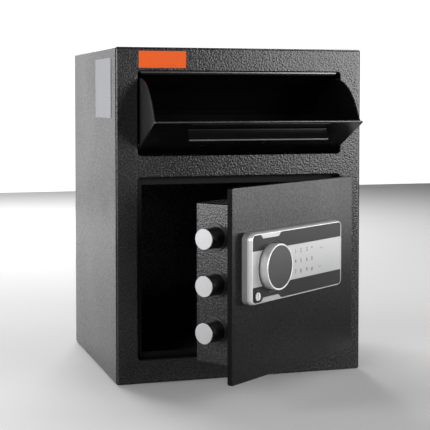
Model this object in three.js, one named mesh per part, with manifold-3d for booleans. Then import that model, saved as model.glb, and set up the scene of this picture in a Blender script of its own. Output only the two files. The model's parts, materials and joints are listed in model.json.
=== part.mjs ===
// Drop safe: a tilting deposit hopper above a swinging door with a keypad lock.
// Millimetres. +Z is up, +X is to the right of someone facing the safe, +Y goes into it.
// The origin is the middle of the cabinet's base, on the floor.
// The hopper is tilted open, the door stands open, and its bolts are out.

import * as THREE from 'three';
import { mergeVertices } from 'three/addons/utils/BufferGeometryUtils.js';
import Module from 'manifold-3d';

const wasm = await Module();
wasm.setup();

// Clearances
const SEAT = 0.3; // between two pieces that touch
const RUNNING = 0.3; // round a pin that turns or slides

// Cabinet
const WIDTH = 350;
const DEPTH = 300;
const HEIGHT = 450;
const SHEET = 2;
const BEND_RADIUS = 3;
const ANCHOR_HOLE_RADIUS = 5;
const ANCHOR_SPACING = 200;
const REAR_ANCHOR_HEIGHT = 340;
const FLOOR_MAT = 2.5;

// Openings in the front panel
const JAMB = 30; // from the cabinet's side to both openings
const DOOR_SILL = 32; // from the floor to the door opening
const RAIL = 29.5; // between the two openings
const HOPPER_OPENING_HEIGHT = 113;
const HEAD_RAIL = 31.5; // from the hopper opening to the top
const OPENING_CORNER = 5;

// Stop frame behind the door opening
const STOP_DEPTH = 15;
const STOP_LIP = 8;
const STOP_HEAD_LIP = 10;

// Door plate
const DOOR_PLATE = 7;
const DOOR_PROUD = 3; // how far the closed plate stands in front of the cabinet
const DOOR_GAP = 2; // above and below the plate
const LATCH_GAP = 1.5;
const HINGE_GAP = 2.5;
const HINGE_CHAMFER = 1.5;
const DOOR_OPEN = THREE.MathUtils.degToRad(36.5);

// Hinge
const HINGE_INSET = 6; // from the side wall to the hinge axis
const HINGE_DEPTH = 14; // from the front face to the hinge axis
const HINGE_FROM_CASE_END = 25;
const HINGE_PIN_RADIUS = 3;
const BUSH_RADIUS = 4.2;
const BUSH_FLANGE = 1.2;
const BRACKET = 4;
const ARM = 5;
const ARM_REACH = 28; // from the hinge axis back to the cross leg
const ARM_LEG = 8;

// Lock case behind the door plate
const CASE_INSET_X = 12.5;
const CASE_INSET_Z = 21;
const CASE_DEPTH = 55.5;
const CASE_SHEET = 1.5;
const CASE_TAB = 12;
const COVER_SCREW_RADIUS = 1.8;

// Bolts and the carriage that carries them
const BOLT_RADIUS = 13;
const BOLT_PITCH = 57.5;
const BOLT_DEPTH = 26; // from the plate's rear face to the bolts' axis
const BOLT_OUT = 25.4; // how far the bolts stand out of the case
const BOLT_THROW = 22.4;
const BOLT_LENGTH = 44;
const BOLT_CHAMFER = 1.2;
const RIVET_RADIUS = 3;
const CARRIAGE = 2.5;
const GUIDE_RADIUS = 3;
const CAM = 4;
const CAM_HUB_RADIUS = 9;
const CAM_PIN_RADIUS = 3;
const CAM_SWING = THREE.MathUtils.degToRad(45); // each way from upright

// Keypad
const KEYPAD_WIDTH = 214;
const KEYPAD_HEIGHT = 88;
const KEYPAD_DEPTH = 14.5;
const KEYPAD_INSET = 20; // from the plate's free edge
const KEYPAD_RISE = 20; // above the plate's middle
const KEYPAD_CORNER = 9;
const KEYPAD_EDGE = 3;
const KEYPAD_WALL = 3;
const KEYPAD_RIM = 2.5;
const BAND_HEIGHT = 44;
const INLAY = 1;
const TAB_DROP = 5;
const TAB_TOP = 45; // width of the silver tab at the rim
const TAB_FOOT = 34;
const TAB_OFFSET = 4.5; // from the knob's centre towards the keypad's left end
const CIRCUIT_BOARD = 1.6;

// Knob
const KNOB_FROM_EDGE = 47.5;
const KNOB_RADIUS = 28.8;
const KNOB_HEIGHT = 11;
const KNOB_CAP_RADIUS = 25.2;
const COLLAR_RADIUS = 32;
const SPINDLE_RADIUS = 4;

// Emergency key cylinder
const KEY_FROM_EDGE = 14;
const KEY_FROM_BOTTOM = 10.4;
const KEY_PLUG_RADIUS = 5;
const KEY_BODY_RADIUS = 7.7;

// Solenoid that blocks the carriage
const SOLENOID_WIDTH = 23;
const SOLENOID_DEPTH = 20;
const SOLENOID_HEADROOM = 8.5; // between the solenoid and the case above it
const SOLENOID_END = 6; // closed end above its bore
const PLUNGER_RADIUS = 3;
const PLUNGER_THROW = 5;

// Batteries, their box and its lid
const CELL_RADIUS = 7.1;
const CELL_LENGTH = 50;
const CELL_COUNT = 4;
const CELL_PITCH = 15;
const BATTERY_FROM_HINGE_SIDE = 70; // from the case's hinge side to the box's middle
const LID = 2;
const RESET_RADIUS = 3.2;
const RESET_TRAVEL = 2;

// Hopper
const HOPPER_OPEN = THREE.MathUtils.degToRad(66.5);
const HOPPER_PLATE = 2;
const HOPPER_SHEET = 1.5;
const HOPPER_SIDE_GAP = 1.5;
const HOPPER_TOP_GAP = 1.5;
const HOPPER_BOTTOM_GAP = 2;
const HOPPER_HEM = 3.5;
const PIVOT_DEPTH = 8.3; // from the front face to the hopper's pivot
const PIVOT_RISE = 13.9; // from the opening's sill to the pivot
const PIVOT_RADIUS = 3.2;
const PIVOT_BUSH_RADIUS = 4.7;
const SECTOR_RADIUS = 90;
const SECTOR_INSET = 2; // from the panel's end to the side plate's outer face
const CHUTE_SLOPE = THREE.MathUtils.degToRad(30); // below level when the hopper is shut
const CHUTE_LENGTH = 86;
const PULL_WIDTH = 191;
const PULL_REACH = 20;
const PULL_DROP = 10; // from the panel's top to the pull
const BAFFLE_GAP = 1.5;
const SHUT_OVERLAP = 3; // of the baffle's lip and the shut panel's hem

// Labels
const FRONT_LABEL_WIDTH = 65;
const FRONT_LABEL_HEIGHT = 22.5;
const FRONT_LABEL_FROM_TOP = 5;
const SIDE_LABEL_DEPTH = 104;
const SIDE_LABEL_HEIGHT = 81;
const SIDE_LABEL_FROM_FRONT = 28;
const SIDE_LABEL_FROM_TOP = 13.5;
const LABEL = 0.4;
const GLUE = 0.1;

// Places that follow from the sizes, in the cabinet's frame: y is 0 at its front face
const side = WIDTH / 2;
const innerSide = side - SHEET;
const ceiling = HEIGHT - SHEET;
const openingSide = side - JAMB;
const hopperHead = HEIGHT - HEAD_RAIL;
const hopperSill = hopperHead - HOPPER_OPENING_HEIGHT;
const doorHead = hopperSill - RAIL;

const hingeX = innerSide - HINGE_INSET;
const plateLeft = -openingSide + LATCH_GAP;
const plateRight = openingSide - HINGE_GAP;
const plateBottom = DOOR_SILL + DOOR_GAP;
const plateTop = doorHead - DOOR_GAP;
const plateRear = DOOR_PLATE - DOOR_PROUD;

const caseLeft = plateLeft + CASE_INSET_X;
const caseRight = plateRight - CASE_INSET_X;
const caseBottom = plateBottom + CASE_INSET_Z;
const caseTop = plateTop - CASE_INSET_Z;
const caseBack = plateRear + CASE_DEPTH;
const coverFront = caseBack - CASE_SHEET;
const caseEnd = coverFront - SEAT;
const hingeLevels = { lower: caseBottom + HINGE_FROM_CASE_END, upper: caseTop - HINGE_FROM_CASE_END - ARM };

const keypadLeft = plateLeft + KEYPAD_INSET;
const keypadRight = keypadLeft + KEYPAD_WIDTH;
const keypadMiddle = (plateBottom + plateTop) / 2 + KEYPAD_RISE;
const keypadBottom = keypadMiddle - KEYPAD_HEIGHT / 2;
const keypadTop = keypadMiddle + KEYPAD_HEIGHT / 2;
const keypadBack = -DOOR_PROUD - SEAT;
const keypadFront = -DOOR_PROUD - KEYPAD_DEPTH;
const knobX = keypadLeft + KNOB_FROM_EDGE;
const knobZ = keypadMiddle;
const keyX = keypadLeft + KEY_FROM_EDGE;
const keyZ = keypadBottom + KEY_FROM_BOTTOM;

const boltY = plateRear + BOLT_DEPTH;
const boltMiddle = (caseBottom + caseTop) / 2;
const boltTip = caseLeft - BOLT_OUT;
const boltEnd = boltTip + BOLT_LENGTH;
const boltLevels = {
  top: boltMiddle + BOLT_PITCH,
  middle: boltMiddle,
  bottom: boltMiddle - BOLT_PITCH,
};
const carriageFront = boltY + BOLT_RADIUS + SEAT;
const carriageBack = carriageFront + CARRIAGE;
const camArm = BOLT_THROW / 2 / Math.sin(CAM_SWING);
const camPinX = knobX - camArm * Math.sin(CAM_SWING);
const camPinLow = knobZ + camArm * Math.cos(CAM_SWING);
const camPinHigh = knobZ + camArm;
const camSlotHalf = CAM_PIN_RADIUS + 0.9;
const guideHole = GUIDE_RADIUS + RUNNING;
const guideX = camPinX - camSlotHalf - 2.9 - guideHole;
const guideLevels = { upper: boltMiddle + BOLT_PITCH / 2, lower: boltMiddle - BOLT_PITCH / 2 };
const carriageLeft = guideX - BOLT_THROW - guideHole - 4;
const columnRight = boltEnd + 12;
const lugTop = camPinHigh + CAM_PIN_RADIUS + 10.6;
const plungerX = columnRight + BOLT_THROW + SOLENOID_WIDTH / 2 + 2.6;
const lugRight = plungerX - PLUNGER_RADIUS - 0.6;
const plungerY = (carriageFront + carriageBack) / 2;
const plungerTip = lugTop + 1.5;
const solenoidBottom = plungerTip + 2;
const solenoidTop = caseTop - CASE_SHEET - SOLENOID_HEADROOM;
const solenoidBoreTop = solenoidTop - SOLENOID_END;

const pivotZ = hopperSill + PIVOT_RISE;
const panelSide = openingSide - HOPPER_SIDE_GAP;
const panelBottom = hopperSill + HOPPER_BOTTOM_GAP;
const panelTop = hopperHead - HOPPER_TOP_GAP;
const sectorSide = panelSide - SECTOR_INSET;
const hopperBracketSide = openingSide + SEAT;
const baffleRadius = SECTOR_RADIUS + BAFFLE_GAP;

// Finishes
function finish(name, color, roughness, metalness) {
  const material = new THREE.MeshStandardMaterial({ color, roughness, metalness });
  material.name = name;
  return material;
}

const texturedBlack = () => finish('textured_black', 0x1c1c1d, 0.55, 0.3);
const satinBlack = () => finish('satin_black', 0x202021, 0.4, 0.3);
const chrome = () => finish('chrome', 0xd8d8da, 0.12, 1);
const silver = () => finish('silver', 0xc6c7c9, 0.35, 0.7);
const glossBlack = () => finish('gloss_black', 0x2a2a2b, 0.15, 0);
const zinc = () => finish('zinc', 0xa9abad, 0.4, 0.9);
const nylon = () => finish('nylon', 0x2b2b2d, 0.6, 0);
const rubber = () => finish('rubber', 0x161616, 0.9, 0);
const felt = () => finish('felt', 0x4a4b4e, 1, 0);
const boardGreen = () => finish('board_green', 0x1e5a3a, 0.5, 0);
const cellWrap = () => finish('cell_wrap', 0x35506e, 0.4, 0.2);
const orange = () => finish('orange', 0xf05f23, 0.6, 0);
const white = () => finish('white', 0xdcdcdc, 0.6, 0);
const red = () => finish('red', 0xb3201c, 0.4, 0);

// Solids and outlines
function solid(geometry) {
  const bare = geometry.clone();
  bare.deleteAttribute('normal');
  bare.deleteAttribute('uv');
  const welded = mergeVertices(bare, 1e-4);
  const points = welded.attributes.position.array;
  const corners = welded.index.array;
  const point = (i) => new THREE.Vector3().fromArray(points, 3 * i);
  const triangles = [];
  let volume = 0;
  for (let i = 0; i < corners.length; i += 3) {
    const [a, b, c] = corners.slice(i, i + 3);
    if (a !== b && b !== c && c !== a) {
      triangles.push([a, b, c]);
      volume += point(a).dot(point(b).cross(point(c)));
    }
  }
  const facing = volume < 0 ? triangles.map(([a, b, c]) => [a, c, b]) : triangles;
  const mesh = new wasm.Mesh({
    numProp: 3,
    vertProperties: Float32Array.from(points),
    triVerts: Uint32Array.from(facing.flat()),
  });
  return new wasm.Manifold(mesh);
}

const join = (first, ...rest) => rest.reduce((sum, next) => sum.add(next), first);
const cut = (first, ...rest) => rest.reduce((left, next) => left.subtract(next), first);

function block(x0, x1, y0, y1, z0, z1) {
  const geometry = new THREE.BoxGeometry(x1 - x0, y1 - y0, z1 - z0);
  geometry.translate((x0 + x1) / 2, (y0 + y1) / 2, (z0 + z1) / 2);
  return solid(geometry);
}

// A round bar along x, y or z; the last two places are those of its axis, in x, y, z order
function bar(axis, radius, from, to, u, v, sides = 32) {
  const geometry = new THREE.CylinderGeometry(radius, radius, to - from, sides);
  geometry.translate(0, (from + to) / 2, 0);
  if (axis === 'x') {
    geometry.rotateZ(-Math.PI / 2);
    geometry.translate(0, u, v);
  }
  if (axis === 'y') {
    geometry.translate(u, 0, v);
  }
  if (axis === 'z') {
    geometry.rotateX(Math.PI / 2);
    geometry.translate(u, v, 0);
  }
  return solid(geometry);
}

// A turned piece: [radius, distance towards the front] pairs about an axis along y
function turned(profile, x, y, z, sides = 48) {
  const geometry = new THREE.LatheGeometry(profile.map(([r, out]) => new THREE.Vector2(r, -out)), sides);
  geometry.translate(x, y, z);
  return solid(geometry);
}

function outline(points) {
  return new THREE.Shape(points.map(([u, v]) => new THREE.Vector2(u, v)));
}

function roundedRect(u0, u1, v0, v1, r) {
  const shape = new THREE.Shape();
  shape.moveTo(u0 + r, v0);
  shape.lineTo(u1 - r, v0);
  shape.absarc(u1 - r, v0 + r, r, -Math.PI / 2, 0);
  shape.lineTo(u1, v1 - r);
  shape.absarc(u1 - r, v1 - r, r, 0, Math.PI / 2);
  shape.lineTo(u0 + r, v1);
  shape.absarc(u0 + r, v1 - r, r, Math.PI / 2, Math.PI);
  shape.lineTo(u0, v0 + r);
  shape.absarc(u0 + r, v0 + r, r, Math.PI, 1.5 * Math.PI);
  return shape;
}

function extruded(shape, depth) {
  return new THREE.ExtrudeGeometry(shape, { depth, bevelEnabled: false, curveSegments: 6 });
}

// An outline in x and z, from y0 to y1
function frontal(shape, y0, y1) {
  const geometry = extruded(shape, y1 - y0);
  geometry.rotateX(Math.PI / 2);
  geometry.translate(0, y1, 0);
  return solid(geometry);
}

// An outline in x and y, from z0 to z1
function level(shape, z0, z1) {
  const geometry = extruded(shape, z1 - z0);
  geometry.translate(0, 0, z0);
  return solid(geometry);
}

// An outline in y and z, from x0 to x1
function upright(shape, x0, x1) {
  const geometry = extruded(shape, x1 - x0);
  const turn = new THREE.Matrix4().makeBasis(
    new THREE.Vector3(0, 1, 0),
    new THREE.Vector3(0, 0, 1),
    new THREE.Vector3(1, 0, 0),
  );
  geometry.applyMatrix4(turn);
  geometry.translate(x0, 0, 0);
  return solid(geometry);
}

function arc(y, z, radius, from, to, steps) {
  return Array.from({ length: steps + 1 }, (_, i) => {
    const angle = from + ((to - from) * i) / steps;
    return [y + radius * Math.sin(angle), z + radius * Math.cos(angle)];
  });
}

function add(group, name, body, material) {
  const mesh = body.getMesh();
  const geometry = new THREE.BufferGeometry();
  geometry.setAttribute('position', new THREE.BufferAttribute(mesh.vertProperties, 3));
  geometry.setIndex(new THREE.BufferAttribute(mesh.triVerts, 1));
  geometry.computeVertexNormals();
  const piece = new THREE.Mesh(geometry, material);
  piece.name = name;
  group.add(piece);
}

// Cabinet shell
function bodyWrap() {
  const sleeve = roundedRect(-side, side, 0, HEIGHT, BEND_RADIUS);
  sleeve.holes.push(roundedRect(-innerSide, innerSide, SHEET, ceiling, BEND_RADIUS - SHEET));
  const anchors = [-1, 1].map((hand) =>
    bar('z', ANCHOR_HOLE_RADIUS, -1, SHEET + 1, (hand * ANCHOR_SPACING) / 2, DEPTH / 2, 24));
  return cut(frontal(sleeve, SHEET + SEAT, DEPTH), ...anchors);
}

function frontPanel() {
  const panel = roundedRect(-side, side, 0, HEIGHT, BEND_RADIUS);
  panel.holes.push(roundedRect(-openingSide, openingSide, DOOR_SILL, doorHead, OPENING_CORNER));
  panel.holes.push(roundedRect(-openingSide, openingSide, hopperSill, hopperHead, OPENING_CORNER));
  return frontal(panel, 0, SHEET);
}

function rearPanel() {
  const edge = innerSide - SEAT;
  const panel = roundedRect(-edge, edge, SHEET + SEAT, ceiling - SEAT, BEND_RADIUS - SHEET);
  const anchors = [-1, 1].map((hand) =>
    bar('y', ANCHOR_HOLE_RADIUS, DEPTH - SHEET - 1, DEPTH + 1, (hand * ANCHOR_SPACING) / 2, REAR_ANCHOR_HEIGHT, 24));
  return cut(frontal(panel, DEPTH - SHEET, DEPTH), ...anchors);
}

// Three sides of an angle-section frame, open on the hinge side
function doorStopFrame() {
  const front = SHEET + SEAT;
  const outside = (y0, y1) => block(-openingSide - SHEET, openingSide, y0, y1, DOOR_SILL - SHEET, doorHead + SHEET);
  const tunnel = block(-openingSide, side, 0, DEPTH, DOOR_SILL, doorHead);
  const way = block(-openingSide + STOP_LIP, side, 0, DEPTH, DOOR_SILL + STOP_LIP, doorHead - STOP_HEAD_LIP);
  return join(cut(outside(front, STOP_DEPTH), tunnel), cut(outside(STOP_DEPTH - SHEET, STOP_DEPTH), way));
}

function floorMat() {
  const edge = innerSide - 1;
  const floor = SHEET + SEAT;
  return level(roundedRect(-edge, edge, SHEET + 1, DEPTH - SHEET - 1, 3), floor, floor + FLOOR_MAT);
}

// Hinge
function hingeBracket(z) {
  const left = hingeX - 9;
  const right = innerSide - SEAT;
  const plate = outline([
    [left, SHEET + SEAT],
    [right, SHEET + SEAT],
    [right, HINGE_DEPTH + 26],
    [hingeX + 2, HINGE_DEPTH + 26],
    [left, HINGE_DEPTH + 12],
  ]);
  const eye = bar('z', BUSH_RADIUS + RUNNING, z - BRACKET - 1, z + 1, hingeX, HINGE_DEPTH);
  return cut(level(plate, z - BRACKET, z), eye);
}

function hingeBush(z) {
  const sleeve = bar('z', BUSH_RADIUS, z - BRACKET - 0.5, z + 1, hingeX, HINGE_DEPTH);
  const flange = bar('z', HINGE_INSET - 2 * SEAT, z + SEAT, z + SEAT + BUSH_FLANGE, hingeX, HINGE_DEPTH);
  const bore = bar('z', HINGE_PIN_RADIUS + RUNNING, z - BRACKET - 2, z + 3, hingeX, HINGE_DEPTH);
  return cut(join(sleeve, flange), bore);
}

const armBottom = (z) => z + BUSH_FLANGE + 2 * SEAT;

function hingeArm(z) {
  const bottom = armBottom(z);
  const top = bottom + ARM;
  const right = innerSide - 2 * SEAT;
  const back = HINGE_DEPTH + ARM_REACH + ARM_LEG;
  const eye = bar('z', HINGE_INSET - 2 * SEAT, bottom, top, hingeX, HINGE_DEPTH);
  const leg = block(hingeX - HINGE_INSET, right, HINGE_DEPTH, back, bottom, top);
  const cross = block(caseRight + SEAT, right, HINGE_DEPTH + ARM_REACH, back, bottom, top);
  const bore = bar('z', HINGE_PIN_RADIUS + RUNNING, bottom - 1, top + 1, hingeX, HINGE_DEPTH);
  return cut(join(eye, leg, cross), bore);
}

function hingePin(z) {
  const top = armBottom(z) + ARM + SEAT;
  const shank = bar('z', HINGE_PIN_RADIUS, z - BRACKET - 2.5, top + 1, hingeX, HINGE_DEPTH);
  const head = bar('z', HINGE_PIN_RADIUS + 2, top, top + 2, hingeX, HINGE_DEPTH);
  return join(shank, head);
}

// Door plate and lock case
function doorPlate() {
  const plate = frontal(roundedRect(plateLeft, plateRight, plateBottom, plateTop, 2), -DOOR_PROUD, plateRear);
  const relief = level(
    outline([
      [plateRight - HINGE_CHAMFER, plateRear + 0.01],
      [plateRight + 0.01, plateRear - HINGE_CHAMFER],
      [plateRight + 1, plateRear + 1],
    ]),
    plateBottom - 1,
    plateTop + 1,
  );
  const spindleHole = bar('y', SPINDLE_RADIUS + 1, -DOOR_PROUD - 1, plateRear + 1, knobX, knobZ);
  const keyHole = bar('y', KEY_BODY_RADIUS + SEAT, -DOOR_PROUD - 1, plateRear + 1, keyX, keyZ);
  const cableHole = bar('y', 5, -DOOR_PROUD - 1, plateRear + 1, keypadRight - 40, knobZ, 24);
  return cut(plate, relief, spindleHole, keyHole, cableHole);
}

const tabMiddle = CASE_SHEET + CASE_TAB / 2;
const coverScrews = [
  ['upper', caseLeft + tabMiddle, caseTop - tabMiddle],
  ['lower', caseRight - tabMiddle, caseBottom + tabMiddle],
];

function lockCase() {
  const ring = roundedRect(caseLeft, caseRight, caseBottom, caseTop, 2);
  const inset = CASE_SHEET;
  ring.holes.push(roundedRect(caseLeft + inset, caseRight - inset, caseBottom + inset, caseTop - inset, 0.5));
  const half = CASE_TAB / 2 + 0.1;
  const tabs = coverScrews.map(([, x, z]) => block(x - half, x + half, caseEnd - CASE_SHEET, caseEnd, z - half, z + half));
  const screwHoles = coverScrews.map(([, x, z]) =>
    bar('y', COVER_SCREW_RADIUS + SEAT, caseEnd - 5, caseEnd + 1, x, z, 16));
  const boltHoles = Object.values(boltLevels).map((z) =>
    bar('x', BOLT_RADIUS + 0.4, caseLeft - 1, caseLeft + CASE_SHEET + 1, boltY, z));
  return cut(join(frontal(ring, plateRear + SEAT, caseEnd), ...tabs), ...boltHoles, ...screwHoles);
}

const batteryX = caseRight - BATTERY_FROM_HINGE_SIDE;
const batteryZ = boltMiddle;
const trayHalfX = (CELL_PITCH * CELL_COUNT) / 2 + 0.5;
const trayHalfZ = CELL_LENGTH / 2 + 1.2;
const trayWall = 2;
const trayFloor = coverFront - SEAT - 2 * CELL_RADIUS - 1;
const lidBottom = batteryZ - trayHalfZ - 3;
const lidTop = batteryZ + trayHalfZ + 3;
const lidHalf = trayHalfX + 3;
const lidAxisY = caseBack + SEAT + LID + 0.3;
const resetX = (batteryX - trayHalfX + guideX + BOLT_THROW) / 2;
const resetZ = caseBottom + 50;

function lockCaseCover() {
  const sheet = frontal(roundedRect(caseLeft, caseRight, caseBottom, caseTop, 2), coverFront, caseBack);
  const window = block(
    batteryX - trayHalfX, batteryX + trayHalfX, coverFront - 1, caseBack + 1,
    batteryZ - trayHalfZ, batteryZ + trayHalfZ,
  );
  const screwHoles = coverScrews.map(([, x, z]) =>
    bar('y', COVER_SCREW_RADIUS + SEAT, coverFront - 1, caseBack + 1, x, z, 16));
  const resetHole = bar('y', RESET_RADIUS + RUNNING, coverFront - 1, caseBack + 1, resetX, resetZ, 24);
  const ears = [-1, 1].map((hand) => {
    const inner = batteryX + hand * (lidHalf + 0.5);
    const outer = inner + hand * 3;
    const ear = block(
      Math.min(inner, outer), Math.max(inner, outer), caseBack - 0.5, lidAxisY + 2.5, lidBottom - 2.5, lidBottom + 2.5,
    );
    return cut(ear, bar('x', 1.5, Math.min(inner, outer) - 1, Math.max(inner, outer) + 1, lidAxisY, lidBottom, 16));
  });
  return cut(join(sheet, ...ears), window, ...screwHoles, resetHole);
}

function coverScrew(x, z) {
  const head = caseBack + SEAT;
  const shank = bar('y', COVER_SCREW_RADIUS, caseEnd - 5, head + 1, x, z, 16);
  return join(shank, bar('y', COVER_SCREW_RADIUS + 1.7, head, head + 2, x, z, 24));
}

// Bolts and carriage
const rivetX = boltEnd - 7;

function bolt(z) {
  const reach = BOLT_LENGTH - BOLT_CHAMFER;
  const tip = new THREE.LatheGeometry(
    [
      [0, 0],
      [BOLT_RADIUS, 0],
      [BOLT_RADIUS, reach],
      [BOLT_RADIUS - BOLT_CHAMFER, BOLT_LENGTH],
      [0, BOLT_LENGTH],
    ].map(([r, out]) => new THREE.Vector2(r, out)),
    48,
  );
  tip.rotateZ(Math.PI / 2);
  tip.translate(boltEnd, boltY, z);
  const rivet = bar('y', RIVET_RADIUS, boltY, carriageBack + SEAT + 1, rivetX, z, 24);
  const head = bar('y', RIVET_RADIUS + 2, carriageBack + SEAT, carriageBack + SEAT + 2, rivetX, z, 24);
  return join(solid(tip), rivet, head);
}

function boltCarriage() {
  const bottom = boltLevels.bottom - BOLT_RADIUS;
  const top = boltLevels.top + BOLT_RADIUS;
  const plate = frontal(
    outline([
      [carriageLeft, bottom],
      [lugRight, bottom],
      [lugRight, lugTop],
      [columnRight, lugTop],
      [columnRight, top],
      [carriageLeft, top],
    ]),
    carriageFront,
    carriageBack,
  );
  const through = [carriageFront - 1, carriageBack + 1];
  const camSlot = block(
    camPinX - camSlotHalf, camPinX + camSlotHalf, ...through,
    camPinLow - CAM_PIN_RADIUS - 0.6, camPinHigh + CAM_PIN_RADIUS + 0.6,
  );
  const guideSlots = Object.values(guideLevels).map((z) =>
    frontal(roundedRect(guideX - BOLT_THROW - guideHole, guideX + guideHole, z - guideHole, z + guideHole, guideHole - 0.01), ...through));
  const rivetHoles = Object.values(boltLevels).map((z) =>
    bar('y', RIVET_RADIUS + SEAT, ...through, rivetX, z, 24));
  const parkX = plungerX - BOLT_THROW;
  const park = block(
    parkX - PLUNGER_RADIUS - 1.5, parkX + PLUNGER_RADIUS + 1.5, ...through,
    plungerTip - PLUNGER_THROW - 1, lugTop + 1,
  );
  return cut(plate, camSlot, ...guideSlots, ...rivetHoles, park);
}

function guidePost(z) {
  const collar = bar('y', GUIDE_RADIUS + 1, plateRear + SEAT, carriageFront - SEAT, guideX, z, 24);
  const shank = bar('y', GUIDE_RADIUS, carriageFront - 1, carriageBack + SEAT + 1, guideX, z, 24);
  const head = bar('y', GUIDE_RADIUS + 2, carriageBack + SEAT, carriageBack + SEAT + 2, guideX, z, 24);
  return join(collar, shank, head);
}

// Knob, spindle and cam
function knob() {
  return turned(
    [
      [0, KNOB_HEIGHT - 5],
      [SPINDLE_RADIUS + SEAT, KNOB_HEIGHT - 5],
      [SPINDLE_RADIUS + SEAT, -3.5],
      [KNOB_RADIUS - 0.2, -3.5],
      [KNOB_RADIUS, KNOB_HEIGHT - 1.2],
      [KNOB_RADIUS - 0.4, KNOB_HEIGHT - 0.4],
      [KNOB_RADIUS - 1.2, KNOB_HEIGHT],
      [KNOB_CAP_RADIUS + SEAT, KNOB_HEIGHT],
      [KNOB_CAP_RADIUS + SEAT, KNOB_HEIGHT - 1.4],
      [0, KNOB_HEIGHT - 1.4],
    ],
    knobX, keypadFront, knobZ, 64,
  );
}

function knobCap() {
  const front = keypadFront - KNOB_HEIGHT + 0.3;
  return bar('y', KNOB_CAP_RADIUS, front, front + 0.8, knobX, knobZ, 64);
}

function knobCollar() {
  const outer = COLLAR_RADIUS - SEAT;
  const inner = KNOB_RADIUS + 0.8;
  return turned(
    [
      [SPINDLE_RADIUS + 1, -5],
      [outer, -5],
      [outer, -0.4],
      [inner, -0.4],
      [inner, -4],
      [SPINDLE_RADIUS + 1, -4],
      [SPINDLE_RADIUS + 1, -5],
    ],
    knobX, keypadFront, knobZ, 64,
  );
}

const camBack = carriageFront - 0.8;

function spindle() {
  return bar('y', SPINDLE_RADIUS, keypadFront - KNOB_HEIGHT + 5 + SEAT, camBack, knobX, knobZ);
}

function boltCam() {
  const front = camBack - CAM;
  const hub = bar('y', CAM_HUB_RADIUS, front, camBack, 0, 0);
  const lever = block(-CAM_PIN_RADIUS - 2, CAM_PIN_RADIUS + 2, front, camBack, 0, camArm);
  const end = bar('y', CAM_PIN_RADIUS + 2, front, camBack, 0, camArm);
  const pin = bar('y', CAM_PIN_RADIUS, camBack - 1, carriageBack + 1.5, 0, camArm);
  const bore = bar('y', SPINDLE_RADIUS + SEAT, front - 1, camBack + 1, 0, 0);
  return cut(join(hub, lever, end, pin), bore);
}

// Keypad
function keypadHousing() {
  const shape = roundedRect(keypadLeft, keypadRight, keypadBottom, keypadTop, KEYPAD_CORNER);
  const rounded = new THREE.ExtrudeGeometry(shape, {
    depth: KEYPAD_DEPTH,
    bevelThickness: KEYPAD_EDGE,
    bevelSize: KEYPAD_EDGE,
    bevelOffset: -KEYPAD_EDGE,
    bevelSegments: 3,
    curveSegments: 6,
  });
  rounded.rotateX(Math.PI / 2);
  rounded.translate(0, keypadFront + KEYPAD_EDGE + KEYPAD_DEPTH, 0);
  const behind = block(keypadLeft - 1, keypadRight + 1, keypadBack, keypadBack + 2 * KEYPAD_DEPTH, keypadBottom - 1, keypadTop + 1);
  const pocket = frontal(
    roundedRect(
      keypadLeft + KEYPAD_WALL, keypadRight - KEYPAD_WALL,
      keypadBottom + KEYPAD_WALL, keypadTop - KEYPAD_WALL, KEYPAD_CORNER - KEYPAD_WALL,
    ),
    keypadFront + KEYPAD_WALL,
    keypadBack + 1,
  );
  const collarHole = bar('y', COLLAR_RADIUS, keypadFront - 1, keypadBack + 1, knobX, knobZ, 64);
  const keyHole = bar('y', KEY_BODY_RADIUS + SEAT, keypadFront - 1, keypadBack + 1, keyX, keyZ, 32);
  const recesses = [1, -1].map((hand) => frontal(inlayOutline(hand, 0), keypadFront - 1, keypadFront + INLAY + SEAT));
  return cut(solid(rounded), behind, pocket, collarHole, keyHole, ...recesses);
}

// The dark field above (hand 1) or below (hand -1) the silver band, with a notch for the silver tab
function inlayOutline(hand, gap) {
  const left = keypadLeft + KEYPAD_RIM + 1 + gap;
  const right = keypadRight - KEYPAD_RIM - gap;
  const inner = BAND_HEIGHT / 2 + gap;
  const outer = KEYPAD_HEIGHT / 2 - KEYPAD_RIM - gap;
  const round = KEYPAD_CORNER - KEYPAD_RIM;
  const tabX = knobX - TAB_OFFSET;
  const at = (u, v) => [u, knobZ + hand * v];
  const corner = (u, v, from, to, radius) =>
    arc(u, v, radius, from, to, 4).map(([x, z]) => at(x, z));
  const quarter = Math.PI / 2;
  return outline([
    at(left, inner),
    ...corner(left + round, outer - round, -quarter, 0, round),
    at(tabX - TAB_TOP / 2 - gap, outer),
    at(tabX - TAB_FOOT / 2 - gap, outer - TAB_DROP),
    at(tabX + TAB_FOOT / 2 + gap, outer - TAB_DROP),
    at(tabX + TAB_TOP / 2 + gap, outer),
    ...corner(right - round, outer - round, 0, quarter, round),
    at(right, inner),
  ]);
}

function inlay(hand) {
  const field = frontal(inlayOutline(hand, SEAT), keypadFront, keypadFront + INLAY);
  const collarHole = bar('y', COLLAR_RADIUS + SEAT, keypadFront - 1, keypadFront + 2, knobX, knobZ, 64);
  const keyHole = bar('y', KEY_BODY_RADIUS + SEAT, keypadFront - 1, keypadFront + 2, keyX, keyZ, 32);
  return cut(field, collarHole, keyHole);
}

function circuitBoard() {
  const front = keypadFront + KEYPAD_WALL + SEAT;
  const inset = KEYPAD_WALL + 5;
  return block(
    knobX + COLLAR_RADIUS + 5, keypadRight - inset, front, front + CIRCUIT_BOARD,
    keypadBottom + inset, keypadTop - inset,
  );
}

// Emergency key cylinder
const keyEnd = boltY - BOLT_RADIUS - 5;

function keyCylinder() {
  const body = bar('y', KEY_BODY_RADIUS, keypadFront - 0.2, keyEnd, keyX, keyZ);
  return cut(body, bar('y', KEY_PLUG_RADIUS + RUNNING, keypadFront - 2, keyEnd + 1, keyX, keyZ));
}

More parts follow.
